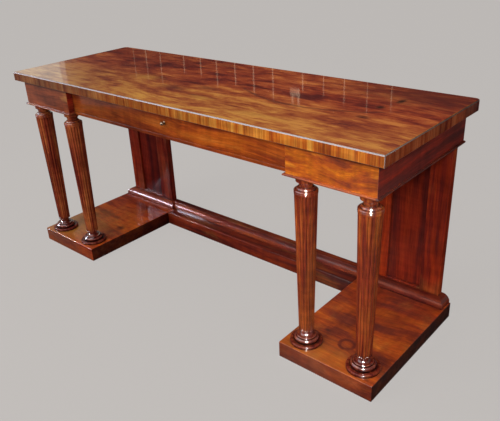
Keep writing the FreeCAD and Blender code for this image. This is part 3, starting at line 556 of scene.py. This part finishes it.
stile = mahogany("pilaster_mahogany", "Z", STILE_TONES, seed=6.1, along=1.6, across=34.0, wander=0.03,
                 cloud=0.5, light=0.12, film=0.20, gloss=0.12, body=0.02, hollow_dust_and_shade=0.3)
panel = mahogany("panel_mahogany", "Z", PANEL_TONES, seed=8.8, along=1.2, across=26.0, wander=0.04,
                 cloud=0.5, light=0.12, light_tone=(0.26, 0.04, 0.01), film=0.18, gloss=0.12, body=0.02,
                 hollow_dust_and_shade=0.3)
# Painted shade: stiles and panels darken towards the left-hand pilaster. The second tint makes the
# right-hand one a little darker.
for finish in (stile, panel):
    shade_towards(finish, "X", 0.3, -0.4, (0.62, 0.62, 1.2))
    shade_towards(finish, "X", 0.3, 0.5, (0.88, 0.92, 1.0))
plinth_wood = mahogany("plinth_mahogany", "X", PLINTH_TONES, seed=1.4, along=2.0, across=24.0, wander=0.06,
                       cloud=0.4, light=0.1, film=0.28, gloss=0.10, body=0.04, hollow_dust_and_shade=0.3)
mouldings = {}
for name, grain, film, body in (("front", "X", 0.55, 0.06), ("side", "Y", 0.36, 0.06),
                                ("right", "X", 0.08, 0.02)):
    mouldings[name] = mahogany(name + "_moulding_mahogany", grain, MOULDING_TONES, seed=2.2, along=2.0,
                               across=40.0, wander=0.02, light=0.1, light_tone=(0.28, 0.06, 0.015),
                               film=film, gloss=0.09, body=body, hollow_dust_and_shade=0.5)
shade_towards(mouldings["right"], "X", 0.3, 0.5, (0.82, 0.76, 0.85))
front = mouldings["front"]
along = front.part(front.place, "X")
swelling = front.spread(along, -0.63, -0.59, 0.10, 0.40)
fading = front.spread(along, -0.46, -0.22, 0.40, 0.10)
front.give("Coat Weight", front.sum("MINIMUM", swelling, fading))
print("finishes of framed and moulded wood ready")

# %% [markdown]
# ## Platforms
#
# The platforms take feet, mops and flower pots, so their polish is thinner and blotchy, orange where it
# has faded and dark where it was wet. The faded patch at the front left of the left-hand one also carries
# a painted golden sheen. Each has a knot, and a pot has left a ring on the right-hand one.
# The ring is the distance from its middle turned into a narrow band. All upright sides are darker, those
# where the grain ends most of all, because end grain drinks the stain.

# %% The platforms' finish
PLATFORM_TONES = ((0.181, 0.021, 0.004), (0.247, 0.032, 0.005), (0.344, 0.050, 0.005),
                  (0.434, 0.080, 0.006), (0.509, 0.118, 0.011))
LEFT_FADE_AND_SHEEN, RIGHT_FADE, STAIN_TONE = (0.255, 0.120, 0.022), (0.36, 0.125, 0.020), (0.055, 0.012, 0.006)
PLATFORM_STAINS = ((-0.660, -0.108, 0.034, 0.026, 0.75), (-0.740, 0.130, 0.050, 0.030, 0.40),
                   (0.697, -0.169, 0.018, 0.013, 0.80), (0.860, 0.020, 0.030, 0.012, 0.30))


def add_ring(finish, x, y, radius, width, depth, tone):
    """The stain that a wet pot leaves: a ring with an uneven edge."""
    off = finish.sum("ABSOLUTE", finish.sum("SUBTRACT", finish.away(x, y), radius))
    uneven = finish.noise(finish.scaled(finish.place, (28.0, 28.0, 28.0)), 2.0)
    share = finish.sum("MULTIPLY", finish.spread(off, width * 0.3, width, depth, 0.0),
                       finish.spread(uneven, 0.3, 0.55, 0.35, 1.0))
    finish.give("Base Color", finish.mixed(share, finish.colour, tone))


platform = mahogany("platform_mahogany", "X", PLATFORM_TONES, seed=5.9, along=3.2, across=16.0,
                    wander=0.12, drift=2.0, cloud=0.5, cloud_scale=(7.0, 11.0), light=0.35,
                    light_tone=(0.50, 0.17, 0.022), film=0.22, gloss=0.13, body=0.08, hollow_dust_and_shade=0.3,
                    end_grain=0.72)
# Fading with a painted golden sheen: the pale patch at the front left of the left platform.
add_spots(platform, ((-0.92, -0.22, 0.42, 0.32, 0.85),), LEFT_FADE_AND_SHEEN, ragged=1.0)
add_spots(platform, ((0.72, -0.30, 0.36, 0.14, 0.50),), RIGHT_FADE, ragged=1.0)
add_spots(platform, PLATFORM_STAINS, STAIN_TONE)
shade_facing(platform, "Z", 0.8, 0.3, (0.54, 0.48, 1.5))
shade_towards(platform, "X", 0.2, -0.2, (0.96, 0.90, 0.85))
shade_towards(platform, "Y", -0.10, 0.12, (0.90, 0.72, 0.85))
add_ring(platform, x=0.802, y=-0.199, radius=28 * MM, width=10 * MM, depth=0.85, tone=(0.10, 0.012, 0.006))
print("platform finish ready, stains:", len(PLATFORM_STAINS))

# %% [markdown]
# ## Plain timber, brass and iron
#
# What is never seen is never polished. The carcass is pine that has gone the colour of tea, and the
# drawer is lined with oak, whose pores make long dashes. The knob is brass, bright where fingers touch it
# and brown in the hollows. The screws are dull iron with a little rust.

# %% Pine, oak, brass and iron
TIMBER_STEPS = (0.35, 0.47, 0.56, 0.68)


def timber(name, grain, tones, across, pore_scale, pore_depth, roughness, seed):
    """Bare sawn wood: growth rings, pores and stains, with almost no sheen."""
    f = Finish(name)
    shift = (seed, seed, seed)
    place = wandering_place(f, 2.0, (0.03,) * 3, shift)
    rings = f.noise(f.scaled(place, along_grain(grain, 0.8, across), shift), 3.0, 0.55)
    pores = f.noise(f.scaled(place, along_grain(grain, 30.0, pore_scale), shift), 2.0, 0.6)
    stains = f.noise(f.scaled(f.place, (6.0, 6.0, 6.0), shift), 4.0)
    colour = f.ramp(rings, TIMBER_STEPS, tones)
    colour = f.mixed(f.spread(pores, 0.54, 0.70, 0.0, pore_depth), colour, tones[0])
    f.give("Base Color", f.mixed(f.spread(stains, 0.5, 0.7, 0.0, 0.5), colour, tones[0]))
    f.give("Roughness", f.spread(rings, 0.3, 0.7, roughness, roughness - 0.12))
    f.give("Normal", f.bump(pores, 0.5, 0.4 * MM))
    return f


def metal(name, bright, dull, roughness, scale):
    """Old metal: bright where it is rubbed, dull in patches and hollows."""
    f = Finish(name)
    patches = f.noise(f.scaled(f.place, (scale,) * 3), 4.0, 0.6)
    share = f.sum("MAXIMUM", f.spread(patches, 0.52, 0.68), f.spread(f.hollows(4 * MM), 0.3, 0.8))
    f.give("Base Color", f.mixed(share, bright, dull))
    f.give("Roughness", f.spread(share, 0.0, 1.0, roughness, roughness + 0.3))
    f.give("Metallic", 1.0)
    return f


PINE_TONES = ((0.22, 0.11, 0.045), (0.33, 0.18, 0.075), (0.43, 0.26, 0.12), (0.52, 0.34, 0.17))
OAK_TONES = ((0.20, 0.11, 0.05), (0.33, 0.20, 0.09), (0.42, 0.27, 0.13), (0.50, 0.34, 0.18))
pine = timber("carcass_pine", "X", PINE_TONES, across=55.0, pore_scale=500.0, pore_depth=0.3,
              roughness=0.78, seed=1.0)
oak = timber("drawer_oak", "Y", OAK_TONES, across=70.0, pore_scale=700.0, pore_depth=0.7,
             roughness=0.62, seed=2.0)
brass = metal("brass", (0.34, 0.25, 0.18), (0.14, 0.075, 0.045), roughness=0.34, scale=300.0)
iron = metal("iron", (0.26, 0.24, 0.22), (0.15, 0.07, 0.04), roughness=0.5, scale=200.0)
print("timber and metal ready")

# %% [markdown]
# ## Laying the finishes on the pieces
#
# Each piece names a material slot in the table's record, so most pieces find their finish by that name.
# The frieze boxes, the mouldings, one nosing and the plinth are told apart by their own names.

# %% Dress every piece
by_slot = {"top_figured_mahogany": top, "crossband_mahogany": crossband, "frieze_mahogany": drawer_veneer,
           "nosing_mahogany": nosings["left"], "column_mahogany": column, "pilaster_mahogany": stile,
           "panel_mahogany": panel, "moulding_mahogany": mouldings["front"], "platform_mahogany": platform,
           "carcass_pine": pine, "drawer_oak": oak, "brass": brass, "iron": iron}
by_name = {"left_frieze_front": brown_veneer, "right_frieze_front": flame_veneer,
           "right_nosing_board": nosings["right"], "right_base_moulding_front": mouldings["right"],
           "plinth_rail": plinth_wood, "stretcher_upstand": plinth_wood}
for end in ENDS:
    for side in ("outer", "inner"):
        by_name[end + "_frieze_" + side] = end_veneer
        by_name[end + "_base_moulding_" + side] = mouldings["side"]
slot_of = {part["node"]: part["material_slot"] for part in record["subparts"]}
body_of = {name: body for body, names in record["behaviour"]["bodies"].items() for name in names}


def finish_of(name):
    """The finish that a piece of the table wears."""
    return by_name.get(name, by_slot[slot_of[name]]).material


for name, piece in nodes.items():
    piece.data.materials.clear()
    piece.data.materials.append(finish_of(name))
print("dressed", len(nodes), "pieces in", len(set(finish_of(name) for name in nodes)), "finishes")

# %% [markdown]
# ## Taking off the sharp arrises
#
# No edge on an old table is sharp. A plane takes the arris off when it is made, and dusters do the rest,
# and it is this narrow flat that catches the light and draws the outline of the table. A bevel modifier
# could round every edge at once, but where two boards meet in a mitre it would open the joint. So a
# copy of each board is cut with a plane laid at 45 degrees, exactly as a block plane would run over
# both boards together. On the top and the platforms the fresh edge gets the finish of a worn arris, and
# elsewhere it keeps the finish of its board.

# %% Working copies
FRESH_FACES = 1    # the finish slot that freshly cut faces wear
WELD_DISTANCE = 0.01 * MM
SAME_PLANE = math.radians(0.5)


def only(piece):
    """Leaves one piece selected and active."""
    bpy.ops.object.select_all(action="DESELECT")
    piece.select_set(True)
    bpy.context.view_layer.objects.active = piece


def working_copy(name, edge_finish):
    """A clean copy of a joined board, shown in its place, with a second finish for its fresh edges."""
    piece = bpy.data.objects.new(name + "_eased", nodes[name].data.copy())
    scene.collection.objects.link(piece)
    only(piece)
    bpy.ops.mesh.customdata_custom_splitnormals_clear()
    bpy.ops.object.mode_set(mode="EDIT")
    bpy.ops.mesh.select_all(action="SELECT")
    bpy.ops.mesh.remove_doubles(threshold=WELD_DISTANCE)
    bpy.ops.mesh.dissolve_limited(angle_limit=SAME_PLANE)
    bpy.ops.object.mode_set(mode="OBJECT")
    piece.data.materials.append(edge_finish)
    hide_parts(name)
    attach(piece, body_of[name])
    return piece


print("working copies can be made")

# %% The block plane
def plane_off(piece, corner, outward, depth):
    """Cuts away what lies beyond a plane, and gives the flat the finish of fresh faces."""
    outward = Vector(outward).normalized()
    only(piece)
    bpy.ops.object.mode_set(mode="EDIT")
    bpy.ops.mesh.select_all(action="SELECT")
    bpy.ops.mesh.bisect(plane_co=corner - outward * depth, plane_no=outward, use_fill=True,
                        clear_outer=True)
    piece.active_material_index = FRESH_FACES
    bpy.ops.object.material_slot_assign()
    bpy.ops.object.mode_set(mode="OBJECT")


def ease_arris(pieces, corner, first, second, flat):
    """Planes one arris of some boards: a flat at 45 degrees, then a light pass over its two edges."""
    width, light_pass = flat
    corner = Vector(corner)
    middle = (first + second).normalized()
    for piece in pieces:
        plane_off(piece, corner, middle, width / math.sqrt(2.0))
        plane_off(piece, corner - second * width, first + middle, light_pass)
        plane_off(piece, corner - first * width, second + middle, light_pass)


LEFT, RIGHT = Vector((-1, 0, 0)), Vector((1, 0, 0))
FRONT, BACK = Vector((0, -1, 0)), Vector((0, 1, 0))
UP, DOWN = Vector((0, 0, 1)), Vector((0, 0, -1))
print("the block plane is set")

# %% [markdown]
# ## The top's edges
#
# The front arris of the top is the brightest line on the table. Its flat takes 3.5 mm off each face. The
# ends and the back have a little less, and the upright corners and the lower edges least.

# %% Ease the top
FRONT_FLAT = (3.5 * MM, 0.25 * MM)
END_FLAT = (2.6 * MM, 0.2 * MM)
BACK_FLAT = (2.0 * MM, 0.2 * MM)
UPRIGHT_FLAT = (1.5 * MM, 0.15 * MM)
UNDER_FLAT = (1.2 * MM, 0.15 * MM)
TOP_NAMES = ("top_board", "top_front_crossband", "top_left_crossband", "top_right_crossband")

low = Vector([min(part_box(name)[0][axis] for name in TOP_NAMES) for axis in range(3)])
high = Vector([max(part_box(name)[1][axis] for name in TOP_NAMES) for axis in range(3)])
top_pieces = [working_copy(name, arris.material) for name in TOP_NAMES]
ease_arris(top_pieces, (0, low.y, high.z), FRONT, UP, FRONT_FLAT)
for side, x in ((LEFT, low.x), (RIGHT, high.x)):
    ease_arris(top_pieces, (x, 0, high.z), side, UP, END_FLAT)
    ease_arris(top_pieces, (x, low.y, 0), side, FRONT, UPRIGHT_FLAT)
    ease_arris(top_pieces, (x, 0, low.z), side, DOWN, UNDER_FLAT)
ease_arris(top_pieces, (0, high.y, high.z), BACK, UP, BACK_FLAT)
ease_arris(top_pieces, (0, low.y, low.z), FRONT, DOWN, UNDER_FLAT)
print("top eased:", [len(piece.data.polygons) for piece in top_pieces], "faces")

# %% [markdown]
# ## The frieze boxes' corners
#
# Each frieze box is three boards mitred at its two front corners. The same cut runs over both boards of a
# corner, so the mitre stays closed.

# %% Ease the frieze boxes
BOX_FLAT = (1.6 * MM, 0.15 * MM)
for end in ENDS:
    names = [end + "_frieze_" + place for place in ("front", "outer", "inner")]
    boards = [working_copy(name, finish_of(name)) for name in names]
    box_low, box_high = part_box(end + "_frieze_front")
    for side, x in ((LEFT, box_low.x), (RIGHT, box_high.x)):
        ease_arris(boards, (x, box_low.y, 0), side, FRONT, BOX_FLAT)
    print(end, "frieze box eased")

# %% [markdown]
# ## Single boards
#
# Platforms, the pilasters' frames, the plinth rail, the drawer front and the bearer are single boards, so
# their long edges can be bevelled in one go. Only edges longer than 60 mm are chosen, which leaves the
# bores and sockets as they were cut.

# %% Ease the single boards
SHORTEST_EDGE = 60 * MM
SHARP_CORNER, SMOOTH_CORNER = math.radians(30), math.radians(35)
BEVEL_FACES = 3


def bevel_long_edges(piece, width):
    """Rounds the long sharp edges of one board."""
    only(piece)
    bpy.ops.object.mode_set(mode="EDIT")
    bpy.ops.mesh.select_mode(type="EDGE")
    bpy.ops.mesh.select_all(action="DESELECT")
    board = bmesh.from_edit_mesh(piece.data)
    for edge in board.edges:
        sharp = len(edge.link_faces) == 2 and edge.calc_face_angle(0.0) > SHARP_CORNER
        edge.select_set(sharp and edge.calc_length() > SHORTEST_EDGE)
    board.select_flush_mode()
    bmesh.update_edit_mesh(piece.data)
    bpy.ops.mesh.bevel(offset=width, offset_type="OFFSET", segments=BEVEL_FACES, profile=0.5,
                       affect="EDGES", material=FRESH_FACES, clamp_overlap=True)
    bpy.ops.object.mode_set(mode="OBJECT")
    only(piece)
    bpy.ops.object.shade_smooth_by_angle(angle=SMOOTH_CORNER)


EASED = {"left_platform": 3.0, "right_platform": 3.0, "plinth_rail": 2.2, "drawer_front": 1.0,
         "drawer_bearer": 1.2}
for end in ENDS:
    for place in ("inner_stile", "outer_stile", "bottom_rail", "top_rail"):
        EASED[end + "_pilaster_" + place] = 1.0
for name, width in EASED.items():
    edge_finish = arris.material if "platform" in name else finish_of(name)
    bevel_long_edges(working_copy(name, edge_finish), width * MM)
print("single boards eased:", len(EASED))

# %% [markdown]
# ## The floor
#
# The floor is one large pale sheet that runs out of sight. Seen directly, or in the polish, most of its
# colour is its own, so that it stays an even pale grey, and the rest is ordinary matt paint that takes the
# table's soft shadow.

# %% The floor
BACKGROUND = (0.515, 0.491, 0.474)
FLOOR_SIZE = 160.0
OWN_COLOUR_SHARE = 0.90
GLOW = 1.03

bpy.ops.object.select_all(action="DESELECT")
bpy.ops.mesh.primitive_plane_add(size=FLOOR_SIZE)
floor = bpy.context.object
floor.name = "floor"


def floor_finish():
    """Matt paint mixed with the background's own colour for rays that look at the floor."""
    f = Finish("pale_floor")
    speckle = f.noise(f.scaled(f.place, (40.0, 40.0, 40.0)), 2.0)
    f.give("Base Color", f.ramp(speckle, (0.3, 0.7), (tuple(v * 0.98 for v in BACKGROUND), BACKGROUND)))
    f.give("Roughness", 0.9)
    f.give("Specular IOR Level", 0.0)
    glow = f.nodes.new("ShaderNodeEmission")
    glow.inputs["Color"].default_value = (*BACKGROUND, 1.0)
    glow.inputs["Strength"].default_value = GLOW
    ray = f.nodes.new("ShaderNodeLightPath")
    looks = f.sum("MAXIMUM", ray.outputs["Is Camera Ray"], ray.outputs["Is Glossy Ray"])
    looks = f.sum("MAXIMUM", looks, ray.outputs["Is Transmission Ray"])
    mix = f.nodes.new("ShaderNodeMixShader")
    f.feed(mix.inputs[0], f.sum("MULTIPLY", looks, OWN_COLOUR_SHARE))
    f.feed(mix.inputs[1], f.shader.outputs[0])
    f.feed(mix.inputs[2], glow.outputs[0])
    f.feed(f.nodes["Material Output"].inputs["Surface"], mix.outputs[0])
    return f


floor.data.materials.append(floor_finish().material)
print("floor laid")

# %% [markdown]
# ## Light
#
# The room is an even pale grey that fills every shadow. A softbox overhead, a broad one at the front left
# and a small lamp by the camera light the wood itself, and a faint window far off to the left lies along
# the back of the top.
#
# The other lamps work on the polish alone, so they light no matt surface. Two long strips hang over the
# front edge, where the front arris of the top mirrors them along its whole length. A cool window at the
# front left, a small warm lamp by the camera and a small cool one at the left have narrow beams. They put
# the highlights on the turned feet, the necks and the mouldings and leave the boards around them alone.

# %% The room and the lamps
room = bpy.data.worlds.new("room")
scene.world = room
room.use_nodes = True
room.node_tree.nodes["Background"].inputs["Color"].default_value = (*BACKGROUND, 1.0)
room.node_tree.nodes["Background"].inputs["Strength"].default_value = 1.0


def softbox(name, place, target, size, power, colour, only_gloss=False, beam=180):
    """A flat lamp that faces a target. Its beam's width is in degrees."""
    light = bpy.data.lights.new(name, "AREA")
    light.shape = "RECTANGLE"
    light.size, light.size_y = size
    light.energy = power
    light.color = colour
    light.spread = math.radians(beam)
    lamp = bpy.data.objects.new(name, light)
    scene.collection.objects.link(lamp)
    lamp.location = place
    lamp.rotation_euler = (Vector(target) - Vector(place)).to_track_quat("-Z", "Y").to_euler()
    lamp.visible_diffuse = not only_gloss


WARM, COOL = (1.0, 0.97, 0.93), (0.84, 0.88, 1.0)
SKY, PALE_SKY, GARDEN = (0.78, 0.84, 1.0), (0.80, 0.84, 1.0), (0.84, 1.0, 0.74)
softbox("softbox_overhead", (-0.8, -1.2, 2.8), (-0.1, 0.0, 0.6), (2.6, 1.2), 20.0, WARM)
softbox("softbox_front_left", (-1.2, -3.6, 2.3), (0.0, 0.0, 0.5), (2.4, 1.8), 85.0, WARM)
softbox("lamp_by_the_camera", (1.8, -1.9, 1.8), (0.2, 0.0, 0.5), (0.25, 0.25), 18.0, WARM)
softbox("strip_left", (-3.1, -1.15, 2.4), (-0.9, -0.34, 0.9), (2.4, 0.8), 14.0, COOL, only_gloss=True)
softbox("strip_right", (-0.6, -1.15, 2.4), (-0.3, -0.34, 0.9), (2.6, 0.8), 26.0, COOL, only_gloss=True)
softbox("window_front_left", (-3.2, -2.35, 1.15), (-0.8, -0.15, 0.12), (2.0, 2.1), 8.0, SKY,
        only_gloss=True, beam=48)
softbox("sparkle", (1.9, -2.0, 1.72), (0.8, -0.3, 0.4), (0.42, 0.42), 70.0, WARM,
        only_gloss=True, beam=26)
softbox("twinkle", (-3.05, -1.77, 1.17), (-0.80, -0.28, 0.09), (0.6, 0.6), 8.0, PALE_SKY,
        only_gloss=True, beam=22)
softbox("window_far_left", (-4.5, 1.5, 1.7), (-0.9, 0.0, 0.9), (0.95, 1.8), 2.9, GARDEN)

# %% [markdown]
# ## What the polish mirrors
#
# Polished wood mirrors the far side of the room at a low angle, and a pale wall there would bleach the
# figure. So a dark sheet stands where the top would mirror the wall, and a second lies on the floor for the
# upright boards: painted dark reflections. In front of the first stand thin laths and a small label that
# glow with painted light and show in the top as fine pale lines. Each is a plane with its corners put in
# their places, and laths are joined to one thing. The camera sees none of them, and none takes any light
# from the table.

# %% Sheets that only reflections see
def sheet(name, corners):
    """A flat sheet with its four corners put in their places."""
    bpy.ops.object.select_all(action="DESELECT")
    bpy.ops.mesh.primitive_plane_add(size=1.0)
    piece = bpy.context.object
    piece.name = name
    for vertex, corner in zip(piece.data.vertices, corners):
        vertex.co = corner
    return piece


def mirrored_only(piece, finish):
    """Dresses a sheet and hides it from all but reflections."""
    piece.data.materials.append(finish.material)
    piece.visible_camera = False
    piece.visible_diffuse = False
    piece.visible_shadow = False


print("sheets can be hung")

# %% The dark sheets, painted dark reflections
def dark_reflection_sheet(name, corners):
    """A dark matt sheet, a little uneven in its tone: a painted dark reflection."""
    f = Finish(name)
    sheet_tone = f.noise(f.scaled(f.place, (3.0, 3.0, 3.0)), 3.0)
    f.give("Base Color", f.ramp(sheet_tone, (0.3, 0.7), ((0.030, 0.024, 0.020), (0.05, 0.04, 0.034))))
    f.give("Roughness", 1.0)
    f.give("Specular IOR Level", 0.0)
    mirrored_only(sheet(name, corners), f)


dark_reflection_sheet("dark_reflection_behind", ((-4.31, 2.0, 0.6), (2.2, 2.6, 0.6), (-4.31, 2.0, 3.4), (2.2, 2.6, 3.4)))
dark_reflection_sheet("dark_reflection_on_the_floor", ((-3.2, -3.4, 3 * MM), (3.4, -3.4, 3 * MM), (-3.2, 3.4, 3 * MM),
                                  (3.4, 3.4, 3 * MM)))
print("cloths hung")

# %% The glowing laths and the label, painted reflections
BEHIND = 1.9
LATH_FOOT, LATH_HEAD = 1.30, 1.34
LATHS = ((-2.93, 5, 0.3), (-2.75, 6, 0.3), (-2.55, 6, 0.3), (-2.24, 9, 0.17), (-2.03, 9, 0.17),
         (-1.84, 10, 0.24), (-1.63, 10, 0.20), (-1.43, 10, 0.24), (-1.23, 9, 0.26), (-0.94, 9, 0.15),
         (-0.75, 7, 0.16), (-0.57, 7, 0.2), (-0.38, 5, 0.24), (-0.19, 5, 0.2))
LABEL = ((-1.057, -0.965, 1.487, 1.545), (-1.043, -1.025, 1.545, 1.61), (-0.985, -0.968, 1.545, 1.61))


def glowing_reflection_strips(name, rectangles):
    """Upright strips in one plane that glow with painted light: each has its left, right, lower and upper
    edge.
    """
    strips = [sheet("strip", ((left, BEHIND, low), (right, BEHIND, low), (left, BEHIND, high),
                              (right, BEHIND, high))) for left, right, low, high in rectangles]
    for strip in strips:
        strip.select_set(True)
    bpy.ops.object.join()
    thing = bpy.context.object
    thing.name = name
    f = Finish(name)
    glow_tone = f.ramp(f.noise(f.scaled(f.place, (9.0, 9.0, 9.0)), 2.0), (0.3, 0.7),
                  ((0.40, 0.30, 0.19), (0.72, 0.58, 0.40)))
    f.give("Base Color", glow_tone)
    # Painted light: the strips glow with their own colour, so the top shows them as pale reflected lines.
    f.give("Emission Color", glow_tone)
    f.give("Emission Strength", 1.0)
    mirrored_only(thing, f)


# A lath is its left edge in metres, its width in millimetres and its length above the lowest head.
glowing_reflection_strips("glowing_laths_behind", [(x, x + wide * MM, LATH_FOOT, LATH_HEAD + more) for x, wide, more in LATHS])
glowing_reflection_strips("glowing_label_behind", LABEL)
print("laths:", len(LATHS))
